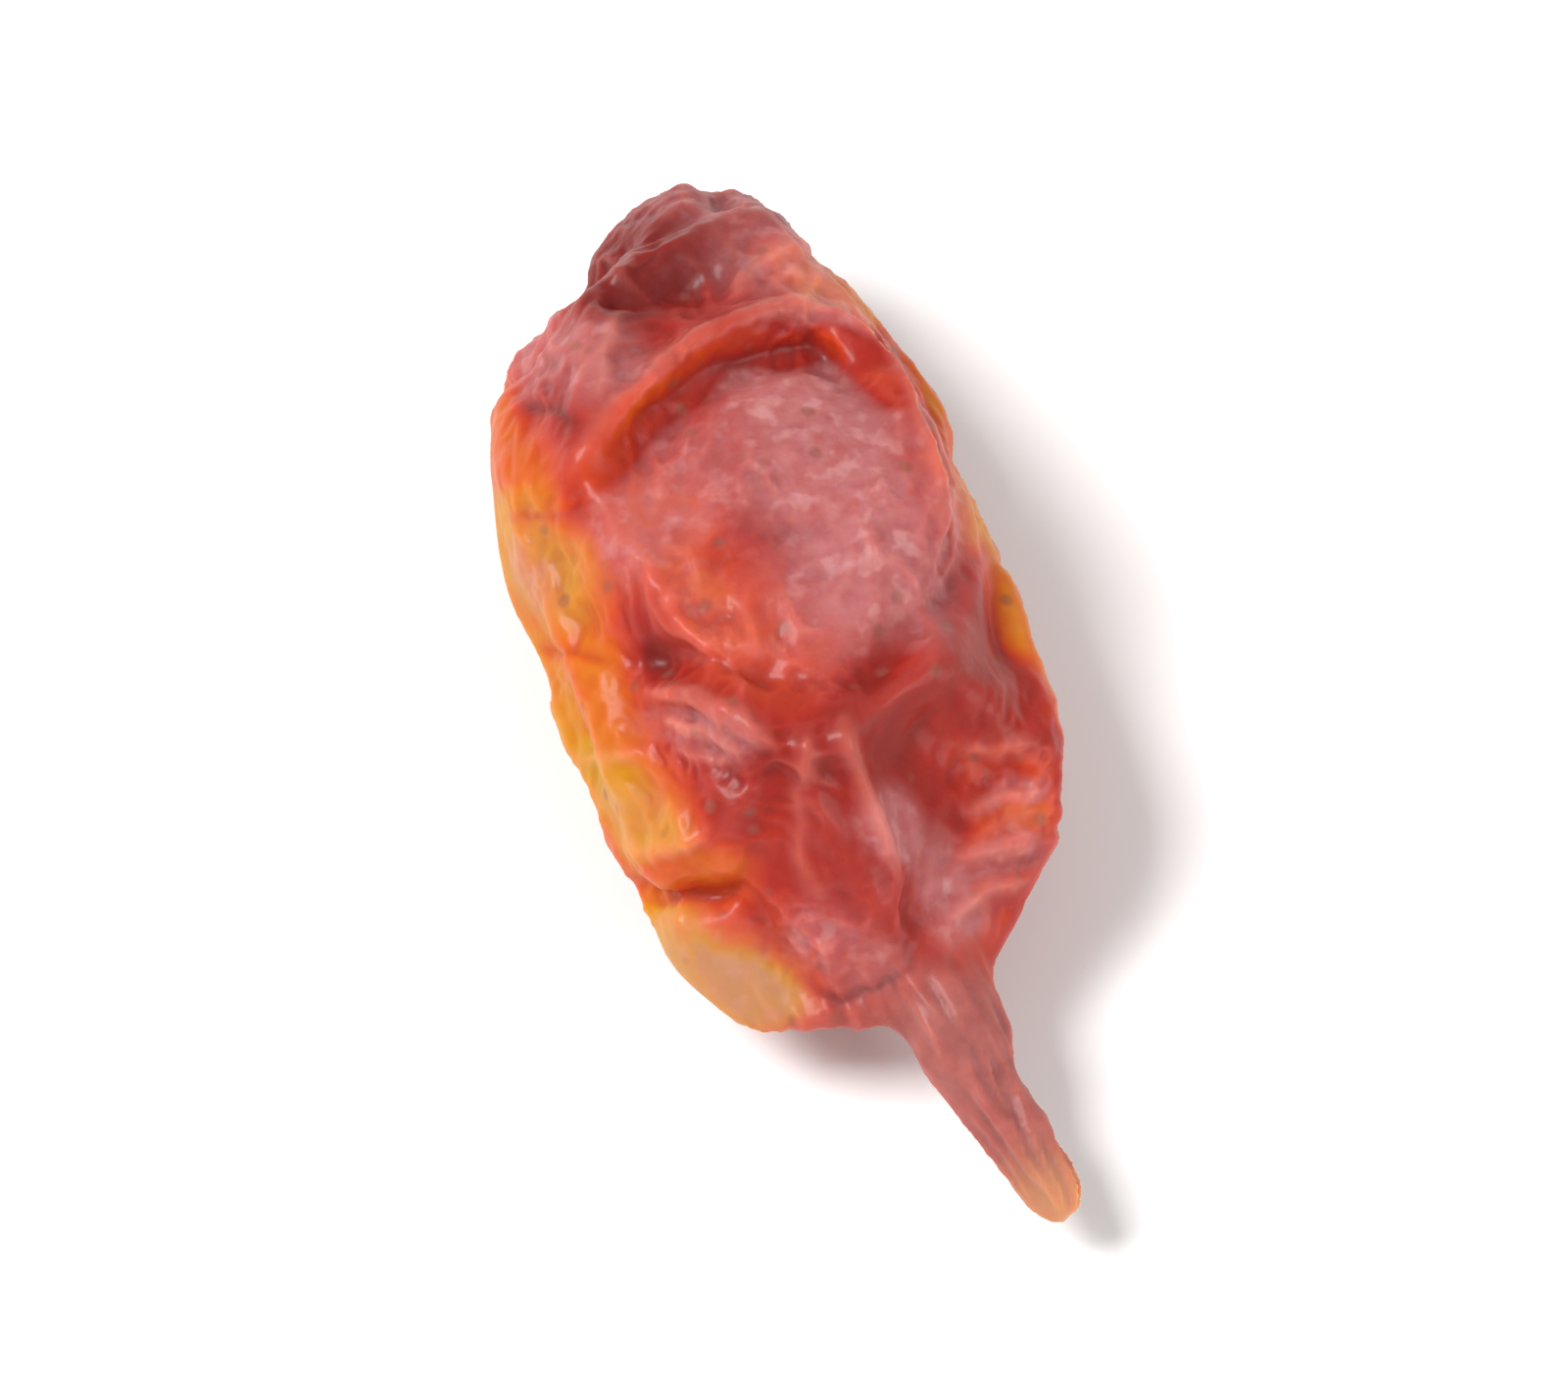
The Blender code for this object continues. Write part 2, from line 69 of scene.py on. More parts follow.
# Wrinkles: depth, distance between them, how much longer than wide, which draw
WRINKLE_SEED = 3
WRINKLES = [(0.030, 0.75, 1.8, 1), (0.018, 0.34, 1.6, 2), (0.008, 0.15, 1.3, 3)]
DRAWS_APART = (5.1, -8.3, 2.7)
RIDGE_SPAN = 4
WARP = 0.22
WARP_FINENESS = 1.3
HIDDEN_WRINKLES = 0.7

# They are deeper on some stretches than on others
STRETCH_FINENESS = 0.7
STRETCH_DRAW = Vector((3, 1, 4))
STRETCH_MIDDLE = 0.7
STRETCH_CONTRAST = 1.2

# The stalk, from where the skin ends to its tip, and its fibres, given as the wrinkles are
STALK_FROM = -2.5
STALK_TO = -3.25
TIP_FROM = -4.2
STALK_END = -4.98
TIP_REACH = 0.5
ROOT_REACH = 0.1
STALK_WRINKLES = 0.5
FIBRES = (0.022, 0.15, 7.0, 4)

# How the light finds its way through: ray cone and the thickness range that matters
CONE = math.radians(35)
CONE_RAYS = 6
RAY_START = 0.02
THICK = 2.0
THIN = 0.3
DEPTH_ROUNDS = 8

# Marks on the skin are measured along the line of sight, rightward and upward from this point
MARKS_FROM = np.array([0.073, 0.773, 0.0])

# They lie on the skin that is turned to the sight, and fade where it turns away
TURNED_FROM = -0.5
TURNED_TO = 0.1

# Marks out of that sight are given as bearing and tilt from the middle of the flesh
MIDDLE = np.array([-0.127, 0.773, 1.62])

# How far marks waver, and how finely
FOLD_WAVER = (0.07, 2.2)
FLESH_WAVER = (0.14, 1.6)
SHEEN_AND_BLOOM_WAVER = (0.16, 1.6)
ROUND_WAVER = (0.3, 1.4)
SCAR_WAVER = (0.08, 5.0)

# How sharply a broad mark and a fold end at their sides
STROKE_POWER = 3.2
FOLD_POWER = 1.4
FOLD_TAPER = 0.3

# Fine folds of the skin: height, width, marks
FINE_FOLDS = {
    "rim_line": (0.035, 0.09, [(-1.85, 1.95), (-1.55, 2.28), (-1.05, 2.76), (-0.62, 3.14), (-0.20, 3.35)]),
    "rim_line_top": (0.045, 0.07, [(-0.50, 3.20), (0.10, 3.42), (0.50, 3.40), (0.95, 3.05)]),
    "rim_line_right": (0.040, 0.08, [(0.75, 3.28), (1.10, 2.72), (1.34, 2.08), (1.48, 1.55), (1.52, 1.10)]),
    "crescent_line": (
        -0.050, 0.12, [(-1.68, 1.80), (-1.10, 2.44), (-0.45, 2.90), (0.30, 3.05), (0.95, 2.75)],
    ),
    "waist_lip_one": (0.055, 0.08, [(-1.20, 0.16), (-0.72, 0.10), (-0.30, -0.10), (0.05, -0.38)]),
    "waist_lip_two": (0.055, 0.07, [(-1.06, -0.10), (-0.62, -0.18), (-0.22, -0.44)]),
    "waist_lip_three": (0.045, 0.07, [(-0.92, -0.36), (-0.35, -0.48)]),
    "keel_line": (0.035, 0.10, [(0.48, 0.10), (0.60, -0.30), (0.78, -0.80), (1.02, -1.50)]),
    "pyramid_line": (0.030, 0.10, [(0.30, -0.05), (0.18, -0.60), (0.22, -1.20), (0.38, -1.80)]),
    "corner_line": (-0.050, 0.07, [(-1.34, -1.58), (-0.95, -1.62), (-0.50, -1.56), (-0.10, -1.38)]),
    "margin_line_high": (-0.040, 0.07, [(-2.36, 1.56), (-1.95, 1.60), (-1.55, 1.74)]),
    "margin_line_mid": (-0.040, 0.07, [(-2.14, 0.42), (-1.70, 0.46), (-1.28, 0.34)]),
    "margin_line_low": (0.035, 0.07, [(-1.80, -0.42), (-1.35, -0.46), (-0.95, -0.28)]),
    "wedge_line": (0.045, 0.07, [(-1.45, -1.10), (-1.00, -1.22), (-0.48, -1.00)]),
    "bump_line": (-0.050, 0.07, [(0.06, -2.28), (0.50, -2.45), (0.86, -2.36), (1.18, -2.08)]),
    "pleat_one": (0.050, 0.09, [(2.24, -0.22), (1.85, -0.38), (1.42, -0.30)]),
    "pleat_two": (0.060, 0.08, [(2.32, -0.70), (1.90, -0.74), (1.45, -0.90)]),
    "pleat_three": (0.060, 0.08, [(2.30, -1.02), (1.88, -1.14), (1.36, -1.32)]),
    "pleat_four": (0.060, 0.06, [(2.18, -1.40), (1.78, -1.54), (1.36, -1.80)]),
    "cap_line": (0.045, 0.08, [(-0.50, 3.40), (-0.15, 3.70), (0.14, 3.88), (0.48, 3.86)]),
    "cap_line_low": (0.040, 0.07, [(-0.16, 3.46), (0.18, 3.66), (0.50, 3.60)]),
    "cap_line_left": (-0.035, 0.08, [(-1.30, 3.62), (-1.00, 3.86), (-0.70, 3.80)]),
    "shoulder_line": (0.035, 0.09, [(-1.54, 2.44), (-1.46, 2.95), (-1.26, 3.42)]),
    "shoulder_line_left": (-0.035, 0.07, [(-2.26, 2.62), (-1.90, 2.50), (-1.60, 2.24)]),
    "stalk_rib_left": (0.035, 0.07, [(1.05, -2.20), (1.50, -3.00), (1.95, -3.62), (2.20, -4.15)]),
    "stalk_rib_right": (0.030, 0.07, [(1.45, -2.10), (1.80, -2.90), (2.15, -3.55), (2.40, -4.00)]),
    "stalk_groove": (-0.030, 0.06, [(1.20, -2.10), (1.68, -3.00), (2.06, -3.62), (2.30, -4.05)]),
}

# How amber the flesh is by itself, more so where light comes through as a painted glow, and in patches
FLESH_LEAST = 0.20
FLESH_THROUGH = 0.22
FLESH_PATCHES = 0.20
FLESH_PATCH_FINENESS = 0.55
FLESH_PATCH_DRAW = Vector((8, 2, 5))

# The crescent-shaped hollow under the rim is painted as shade: red and free of the painted sheen
CRESCENT = [(-1.68, 1.90), (-1.10, 2.50), (-0.40, 2.95), (0.35, 3.05), (0.95, 2.75)]

# Where the flesh under the skin is thin, and amber with painted light coming through, or deep, and red:
# strength, width, marks
FLESH = {
    "left_margin_top": (0.46, 0.40, [(-2.45, 2.45), (-2.26, 1.95)]),
    "left_margin": (0.66, 0.54, [(-2.22, 1.50), (-1.85, 0.90)]),
    "left_margin_mid": (0.54, 0.50, [(-1.75, 0.45), (-1.40, -0.20)]),
    "left_margin_low": (0.70, 0.44, [(-1.42, -0.55), (-1.10, -0.98)]),
    "left_wedge": (0.34, 0.32, [(-1.05, -1.36), (-0.50, -1.32)]),
    "left_corner": (0.62, 0.44, [(-1.15, -1.85), (-0.85, -2.05), (-0.20, -2.42)]),
    "left_wall": (0.56, 0.40, [(-2.45, 1.20), (-2.10, 0.20), (-1.70, -0.80)]),
    "plateau_left": (0.22, 0.56, [(-1.00, 1.45), (-0.62, 0.95), (0.0, 0.45)]),
    "plateau_spot": (0.32, 0.20, [(-0.62, 1.02), (-0.45, 0.92)]),
    "plateau_foot": (0.22, 0.26, [(-0.05, 0.50), (0.35, 0.45)]),
    "right_wall": (0.10, 0.26, [(0.92, 3.05), (1.28, 2.40), (1.58, 1.65)]),
    "right_strip": (0.44, 0.24, [(1.20, 3.15), (1.50, 2.45), (1.74, 1.60)]),
    "right_glint_high": (0.16, 0.16, [(2.15, -0.42), (1.70, -0.50)]),
    "right_glint_low": (0.20, 0.15, [(2.20, -0.90), (1.72, -0.98)]),
    # A painted highlight on the right of the cap
    "cap_highlight": (0.60, 0.24, [(0.02, 3.86), (0.34, 3.62)]),
    "cap_amber": (0.56, 0.18, [(0.50, 3.66), (0.80, 3.36)]),
    # Painted shade on the cap, which is turned away from the light
    "cap_shade": (-0.34, 0.58, [(-1.20, 3.80), (-0.70, 4.10), (-0.20, 4.10)]),
    "crescent": (0.16, 0.20, CRESCENT),
    "crescent_left": (0.10, 0.16, [(-1.70, 1.70), (-1.25, 2.10)]),
    "waist_red": (-0.06, 0.22, [(-1.15, 0.45), (-0.80, 0.40)]),
    "stalk_root": (-0.12, 0.36, [(1.10, -2.05), (1.40, -2.45)]),
    "brick_facet": (0.10, 0.60, [(1.30, 0.30), (1.50, -0.20)]),
    "red_pyramid": (0.02, 0.60, [(0.10, -0.70), (0.40, -1.60)]),
}

# The same on the sides out of that sight, with marks as bearing and tilt
FLESH_ROUND = {
    "left_edge_under": (0.50, 0.44, [(-70, -10), (-90, -12), (-112, -14), (-132, -16)]),
    "left_flank": (0.25, 0.50, [(-60, -30), (-100, -38)]),
    "right_edge": (0.50, 0.34, [(70, 4), (88, 6), (106, 5), (124, 3)]),
    "right_flank": (0.30, 0.45, [(60, -24), (96, -30), (130, -28)]),
    "back_window": (0.35, 0.45, [(40, -6), (52, -16)]),
    "belly_window": (0.32, 0.60, [(150, -62), (170, -80)]),
    "belly_edge": (0.36, 0.40, [(-30, -40), (-14, -34)]),
}

# A mauve veil lies on these stretches: partly a dry dusting, partly a painted sheen where they face the
# light, with painted highlights on the waist lips, keel and cap; negative marks keep it off the shaded
# hollow, the shaded facet and the amber margins
SHEEN_AND_BLOOM = {
    "plateau": (0.95, 0.80, [(0.20, 2.35), (0.65, 1.75), (0.70, 1.10)]),
    "plateau_left": (0.60, 0.45, [(-1.20, 1.40), (-0.60, 2.10)]),
    "plateau_low": (0.26, 0.36, [(-0.85, 1.05), (-0.35, 0.70)]),
    "left_corner": (0.34, 0.50, [(-0.60, -2.02), (-0.15, -2.36)]),
    "left_golden": (0.22, 0.30, [(-1.30, -0.70), (-1.05, -1.00)]),
    "left_amber": (0.20, 0.30, [(-2.05, 1.40), (-1.85, 1.00)]),
    "cap": (0.06, 0.60, [(-0.75, 4.05), (-0.20, 3.70)]),
    "cap_highlight": (0.60, 0.22, [(0.05, 3.86), (0.40, 3.66)]),
    "crescent": (-0.80, 0.20, CRESCENT),
    "left_low_amber": (-0.50, 0.46, [(-1.75, 0.45), (-1.40, -0.20)]),
    "wedge": (-0.40, 0.30, [(-1.05, -1.36), (-0.50, -1.32)]),
    "right_glint": (0.45, 0.12, [(2.15, -0.70), (1.80, -0.80)]),
    "brick_facet": (-0.45, 0.40, [(0.85, 0.20), (1.10, -0.15), (1.50, -0.30)]),
    "shoulder": (0.70, 0.36, [(-1.95, 3.00), (-1.45, 2.90)]),
    "waist": (0.55, 0.22, [(-1.05, -0.10), (-0.45, -0.30)]),
    "keel_right": (0.85, 0.28, [(0.88, -1.00), (1.25, -1.20), (1.55, -1.75)]),
    "front_bump": (0.55, 0.30, [(0.30, -1.95), (0.70, -2.15)]),
    "right_pleats": (0.50, 0.30, [(2.00, -1.20), (1.60, -1.40)]),
}
# The same painted sheen and dry dusting on the sides out of that sight
SHEEN_AND_BLOOM_ROUND = {
    "right_side": (0.60, 0.50, [(80, -10), (110, -12)]),
    "back": (0.60, 0.60, [(10, 6), (30, 24)]),
    "left_side": (0.50, 0.45, [(-70, 14), (-100, 16)]),
    "belly": (0.40, 0.60, [(0, -60), (60, -70)]),
}

# Creases are found by comparing the skin with a smoother one, and from the folds; sunk ones get painted
# shade and lifted ones a painted highlight
BROAD_ROUNDS = 14
BEND_ROUNDS = 1
FULL_BEND = 0.04
FULL_FOLD = 0.05
CREASE_PAINTED_SHADE = 0.16
CREASE_PAINTED_HIGHLIGHT = 0.24

# The dark scar at the blossom end, as bearing and tilt, and how wide it is
SCAR = [(7, -2), (9, -1)]
SCAR_WIDTH = 0.17
SCAR_COLOUR = (0.035, 0.014, 0.010)

# Little scales lie scattered over the skin: how far apart, how big a share of that, how many of them
SCALES_APART = 0.34
SCALE_SHARE = 0.24
SCALES_SHOWN = 0.62
SCALE_STRENGTH = 0.55
SCALE_COLOUR = (0.23, 0.075, 0.050)

# Colours of the flesh from deep to thin, of the painted sheen and dry dusting, of the painted highlight on
# a lifted crease, of the painted glint flecks and of the stalk
FLESH_COLOURS = [
    (0.0, (0.17, 0.012, 0.010)),
    (0.22, (0.34, 0.020, 0.012)),
    (0.42, (0.47, 0.045, 0.010)),
    (0.62, (0.53, 0.105, 0.006)),
    (0.80, (0.52, 0.205, 0.005)),
    (0.92, (0.50, 0.245, 0.022)),
    (1.0, (0.46, 0.235, 0.080)),
]
SHEEN_AND_BLOOM_COLOUR = (0.44, 0.150, 0.150)
CREASE_HIGHLIGHT_COLOUR = (0.62, 0.26, 0.21)
GLINT_FLECK_COLOUR = (0.62, 0.34, 0.33)
STALK_COLOUR = (0.46, 0.150, 0.125)
STALK_DARK_COLOUR = (0.20, 0.045, 0.045)
STALK_TIP_COLOUR = (0.47, 0.22, 0.11)

# Fine variation of these colours: grain size and how much detail it has
MOTTLE = (0.5, 3)
MOTTLE_SPAN = 0.3
SHEEN_AND_DUST_GRAIN = (0.16, 2)
SHEEN_AND_DUST_SPAN = 1.1
SHEEN_AND_DUST_LEAST = 0.3
GLINT_FLECKS = (0.22, 2)
GLINT_FLECK_RANGE = (0.54, 0.66)
GLINT_FLECK_STRENGTH = 0.38
BLOTCHES = (0.22, 3)

# The skin's translucency and gloss, and its pores
SKIN_VALUES = {
    "IOR": 1.5,
    "Subsurface Weight": 0.9,
    "Subsurface Radius": (1.0, 0.35, 0.12),
    "Subsurface Scale": 0.32 * MM,
    "Specular IOR Level": 0.13,
    "Coat Weight": 0.12,
    "Coat Roughness": 0.2,
}
ROUGHNESS = 0.44
DRY_ROUGHNESS = 0.22
PORES = (0.07, 2)
PORE_STRENGTH = 0.5
PORE_DEPTH = 0.012

# Sockets of a colour mix, which share their names
MIX_SHARE = 0
MIX_FIRST = 6
MIX_SECOND = 7
MIX_RESULT = 2

# The floor and the light: place, size and power of each lamp, and the strength of the surroundings
FLOOR_SIZE = 600
FLOOR_COLOUR = (0.88, 0.87, 0.86, 1)
LAMPS = {
    "key": ((-80, 10, 125), 60, 0.24),
    "front": ((90, -100, 75), 110, 0.15),
}
SURROUNDINGS = 0.42
NEAREST_SEEN = 1.0


def ease(share):
    share = np.clip(share, 0, 1)
    return share * share * (3 - 2 * share)


def points_of(mesh):
    points = np.empty(len(mesh.vertices) * 3)
    mesh.vertices.foreach_get("co", points)
    return points.reshape(-1, 3)


def normals_of(mesh):
    normals = np.empty(len(mesh.vertices) * 3)
    mesh.vertices.foreach_get("normal", normals)
    return normals.reshape(-1, 3)


def set_points(mesh, points):
    mesh.vertices.foreach_set("co", points.ravel())
    mesh.update()


def edges_of(mesh):
    edges = np.empty(len(mesh.edges) * 2, dtype=int)
    mesh.edges.foreach_get("vertices", edges)
    return edges.reshape(-1, 2)


def neighbour_mean(values, edges):
    """The mean of each vertex's neighbours, for one column of values or several."""
    ends = np.concatenate([edges[:, 0], edges[:, 1]])
    others = np.concatenate([edges[:, 1], edges[:, 0]])
    count = np.bincount(ends, minlength=len(values))
    columns = values.reshape(len(values), -1).T
    sums = [np.bincount(ends, weights=column[others], minlength=len(values)) for column in columns]
    return (np.array(sums) / count).T.reshape(values.shape)


def smoothed(values, edges, rounds):
    for _ in range(rounds):
        values = (values + neighbour_mean(values, edges)) / 2
    return values


def fine_mesh(node):
    """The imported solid's surface, rounded and divided into small even faces, in millimetres."""
    shape = bmesh.new()
    shape.from_mesh(node.data)
    bmesh.ops.scale(shape, vec=Vector((1, 1, 1)) / MM, verts=shape.verts)
    bmesh.ops.remove_doubles(shape, verts=shape.verts, dist=WELD_DISTANCE)
    coarse = bpy.data.meshes.new("coarse_skin")
    shape.to_mesh(coarse)
    shape.free()
    holder = bpy.data.objects.new("coarse_skin", coarse)
    bpy.context.scene.collection.objects.link(holder)
    rounding = holder.modifiers.new("rounding", "SUBSURF")
    rounding.levels = 1
    evening = holder.modifiers.new("evening", "REMESH")
    evening.mode = "VOXEL"
    evening.voxel_size = GRAIN
    fine = bpy.data.meshes.new_from_object(holder.evaluated_get(bpy.context.evaluated_depsgraph_get()))
    bpy.data.objects.remove(holder)
    bpy.data.meshes.remove(coarse)
    points = points_of(fine)
    set_points(fine, smoothed(points, edges_of(fine), EVENING_ROUNDS))
    return fine


def ridged(points, size, stretch, draw):
    """Sharp little ridges between soft hollows, from -1 to 1."""
    offset = Vector([draw * step for step in DRAWS_APART])
    scale = Vector((1, 1 / stretch, 1)) / size
    return np.array([1 - RIDGE_SPAN * abs(noise.noise(p * scale + offset)) for p in points])


def along_stalk(points):
    """The points turned so that the stalk runs along Y."""
    tip = points[points[:, 1] < STALK_END + TIP_REACH].mean(axis=0)
    root = points[abs(points[:, 1] - STALK_TO) < ROOT_REACH].mean(axis=0)
    turn = Vector(root - tip).rotation_difference(Vector((0, 1, 0)))
    return [turn @ Vector(p) for p in points]


def turned_to_sight(normals):
    return ease((normals @ TOWARDS - TURNED_FROM) / (TURNED_TO - TURNED_FROM))


def wrinkled(points, normals, stalk):
    """The points with fine wrinkles and folds, or fibres on the stalk, and how far each fold lifts them."""
    patchy = np.array([noise.noise(Vector(p) * STRETCH_FINENESS + STRETCH_DRAW) for p in points])
    warped = [Vector(p) + WARP * noise.noise_vector(Vector(p) * WARP_FINENESS) for p in points]
    lift = sum(depth * ridged(warped, size, stretch, draw) for depth, size, stretch, draw in WRINKLES)
    depth, size, stretch, draw = FIBRES
    fibres = depth * ridged(along_stalk(points), size, stretch, draw)
    folds = strongest(painted_seen(FINE_FOLDS, fold, points, normals, FOLD_WAVER))
    hidden = 1 - turned_to_sight(normals)
    lift *= ease(STRETCH_MIDDLE + patchy * STRETCH_CONTRAST) * (1 + HIDDEN_WRINKLES * hidden)
    lift = lift * (1 - (1 - STALK_WRINKLES) * stalk) + fibres * stalk + folds
    return points + normals * lift[:, None], folds


def cone_directions(axis):
    side = axis.orthogonal().normalized()
    rim = [Matrix.Rotation(2 * math.pi * i / CONE_RAYS, 3, axis) @ side for i in range(CONE_RAYS)]
    return [axis] + [axis * math.cos(CONE) + spoke * math.sin(CONE) for spoke in rim]


def thickness(points, normals, tree):
    """How deep the flesh is behind each point, as the middle one of a cone of rays."""
    depths = np.empty(len(points))
    for i, (point, normal) in enumerate(zip(points, normals)):
        inward = Vector(-normal)
        start = Vector(point) + inward * RAY_START
        reaches = [tree.ray_cast(start, way)[3] or 0.0 for way in cone_directions(inward)]
        depths[i] = np.median(reaches)
    return depths


def seen_places(points):
    """Where the points lie along the line of sight, rightward and upward."""
    return (points - MARKS_FROM) @ np.array([RIGHTWARD, UPWARD]).T


def round_route(marks, tree):
    """The points of the skin at these bearings and tilts."""
    route = []
    for bearing, tilt in marks:
        bearing = math.radians(bearing)
        tilt = math.radians(tilt)
        level = math.cos(tilt)
        outward = np.array([level * math.sin(bearing), level * math.cos(bearing), math.sin(tilt)])
        route.append(tree.ray_cast(Vector(MIDDLE + outward * CAMERA_DISTANCE), Vector(-outward))[0])
    return np.array(route)


def nearest_on(points, route):
    """How far each point is from the line through the route, and where along it the nearest place is."""
    nearest = np.full(len(points), np.inf)
    place = np.zeros(len(points))
    steps = np.linalg.norm(np.diff(route, axis=0), axis=1)
    run = np.concatenate([[0], np.cumsum(steps)]) / steps.sum()
    for start, end, before, after in zip(route[:-1], route[1:], run[:-1], run[1:]):
        along = end - start
        share = np.clip((points - start) @ along / (along @ along), 0, 1)
        distance = np.linalg.norm(points - start - share[:, None] * along, axis=1)
        closer = distance < nearest
        nearest[closer] = distance[closer]
        place[closer] = (before + share * (after - before))[closer]
    return nearest, place


def stroke(points, route, width):
    """A broad soft mark: 1 along the route and 0 away from it."""
    distance, _ = nearest_on(points, route)
    return np.exp(-((distance / width) ** STROKE_POWER))


def fold(points, route, width):
    """A narrow crest that rises and dies away along the route."""
    distance, place = nearest_on(points, route)
    taper = ease(place / FOLD_TAPER) * ease((1 - place) / FOLD_TAPER)
    return taper * np.exp(-((distance / width) ** FOLD_POWER))


def strayed(points, wander, fineness):
    """The points, each led a little astray, so that the marks waver."""
    return points + wander * np.array([noise.noise_vector(Vector(p) * fineness) for p in points])


def painted_seen(strokes, brush, points, normals, waver):
    """Each stroke laid on from the line of sight, on the skin that is turned to it."""
    places = seen_places(strayed(points, *waver))
    turned = turned_to_sight(normals)
    return [
        strength * turned * brush(places, np.array(marks), width)
        for strength, width, marks in strokes.values()
    ]


def painted_round(strokes, points, tree):
    """Each stroke laid on from its own side."""
    places = strayed(points, *ROUND_WAVER)
    return [
        strength * stroke(places, round_route(marks, tree), width)
        for strength, width, marks in strokes.values()
    ]


def strongest(fields):
    """The highest and the lowest of these strokes, so that strokes that meet don't add up."""
    return np.max(fields, axis=0).clip(min=0) + np.min(fields, axis=0).clip(max=0)


def skin_tree(mesh, points):
    return BVHTree.FromPolygons([Vector(p) for p in points], [tuple(f.vertices) for f in mesh.polygons])


def add_attribute(mesh, name, values):
    mesh.attributes.new(name, "FLOAT", "POINT").data.foreach_set("value", values.astype(np.float32))


def flesh_values(points, normals, stalk, edges, tree):
    """From 0 where the flesh is deep and red to 1 where it is thin and amber, with painted light coming
    through where it is thin.
    """
    depth = smoothed(thickness(points, normals, tree), edges, DEPTH_ROUNDS)
    through = 1 - np.clip((depth - THIN) / (THICK - THIN), 0, 1)
    patches = np.array([noise.noise(Vector(p) * FLESH_PATCH_FINENESS + FLESH_PATCH_DRAW) for p in points])
    flesh = FLESH_LEAST + FLESH_THROUGH * through * (1 - stalk) + FLESH_PATCHES * patches
    seen = painted_seen(FLESH, stroke, points, normals, FLESH_WAVER)
    flesh += strongest(seen + painted_round(FLESH_ROUND, points, tree))
    return np.clip(flesh, 0, 1)


def sheen_and_bloom_values(points, normals, tree):
    seen = painted_seen(SHEEN_AND_BLOOM, stroke, points, normals, SHEEN_AND_BLOOM_WAVER)
    return np.clip(strongest(seen + painted_round(SHEEN_AND_BLOOM_ROUND, points, tree)), 0, 1)


def crease_values(points, normals, folds, edges):
    """From -1 in a sunk crease to 1 on a lifted one."""
    broad = smoothed(points, edges, BROAD_ROUNDS)
    bend = smoothed(((points - broad) * normals).sum(axis=1), edges, BEND_ROUNDS)
    return np.clip(bend / FULL_BEND + folds / FULL_FOLD, -1, 1)


def scar_values(points, tree):
    return stroke(strayed(points, *SCAR_WAVER), round_route(SCAR, tree), SCAR_WIDTH)


def skin_mesh(node):
    mesh = fine_mesh(node)
    edges = edges_of(mesh)
    points = points_of(mesh)
    stalk = ease((STALK_FROM - points[:, 1]) / (STALK_FROM - STALK_TO))
    points, folds = wrinkled(points, normals_of(mesh), stalk)
    points[:, 2] = np.maximum(points[:, 2], 0)
    set_points(mesh, points)
    normals = normals_of(mesh)
    tree = skin_tree(mesh, points)
    add_attribute(mesh, "flesh", flesh_values(points, normals, stalk, edges, tree))
    add_attribute(mesh, "sheen_and_bloom", sheen_and_bloom_values(points, normals, tree))
    add_attribute(mesh, "stalk", stalk)
    add_attribute(mesh, "scar", scar_values(points, tree))
    add_attribute(mesh, "tip", ease((TIP_FROM - points[:, 1]) / (TIP_FROM - STALK_END)))
    add_attribute(mesh, "crease", crease_values(points, normals, folds, edges))
    set_points(mesh, points * MM)
    mesh.shade_smooth()
    return mesh


def ramp_node(tree, stops):
    node = tree.nodes.new("ShaderNodeValToRGB")
    band = node.color_ramp
    for place, _ in stops[1:-1]:
        band.elements.new(place)
    for element, (place, colour) in zip(band.elements, stops):
        element.position = place
        element.color = (*colour, 1)
    return node


def attribute_value(tree, name):
    node = tree.nodes.new("ShaderNodeAttribute")
    node.attribute_name = name
    return node.outputs["Fac"]


def noise_value(tree, size, detail):
    """Noise in the object's own space, with its grain size in millimetres."""
    place = tree.nodes.new("ShaderNodeTexCoord")
    node = tree.nodes.new("ShaderNodeTexNoise")
    node.inputs["Scale"].default_value = 1 / (size * MM)
    node.inputs["Detail"].default_value = detail
    tree.links.new(place.outputs["Object"], node.inputs["Vector"])
    return node.outputs["Fac"]


def scale_value(tree):
    """1 on the little scales and 0 between them."""
    place = tree.nodes.new("ShaderNodeTexCoord")
    cells = tree.nodes.new("ShaderNodeTexVoronoi")
    cells.inputs["Scale"].default_value = 1 / (SCALES_APART * MM)
    tree.links.new(place.outputs["Object"], cells.inputs["Vector"])
    near = tree.nodes.new("ShaderNodeMapRange")
    near.inputs["From Min"].default_value = SCALE_SHARE
    near.inputs["From Max"].default_value = SCALE_SHARE / 2
    tree.links.new(cells.outputs["Distance"], near.inputs["Value"])
    draw = tree.nodes.new("ShaderNodeSeparateColor")
    tree.links.new(cells.outputs["Color"], draw.inputs["Color"])
    shown = math_node(tree, "GREATER_THAN", draw.outputs["Red"], SCALES_SHOWN)
    return math_node(tree, "MULTIPLY", near.outputs["Result"], shown)


def glint_fleck_value(tree):
    """1 on pale irregular flecks, painted glints of the sheen, and 0 between them."""
    flecks = tree.nodes.new("ShaderNodeMapRange")
    flecks.inputs["From Min"].default_value = GLINT_FLECK_RANGE[0]
    flecks.inputs["From Max"].default_value = GLINT_FLECK_RANGE[1]
    tree.links.new(noise_value(tree, *GLINT_FLECKS), flecks.inputs["Value"])
    return flecks.outputs["Result"]


def math_node(tree, operation, *values):
    node = tree.nodes.new("ShaderNodeMath")
    node.operation = operation
    for socket, value in zip(node.inputs, values):
        if isinstance(value, (int, float)):
            socket.default_value = value
        else:
            tree.links.new(value, socket)
    return node.outputs["Value"]


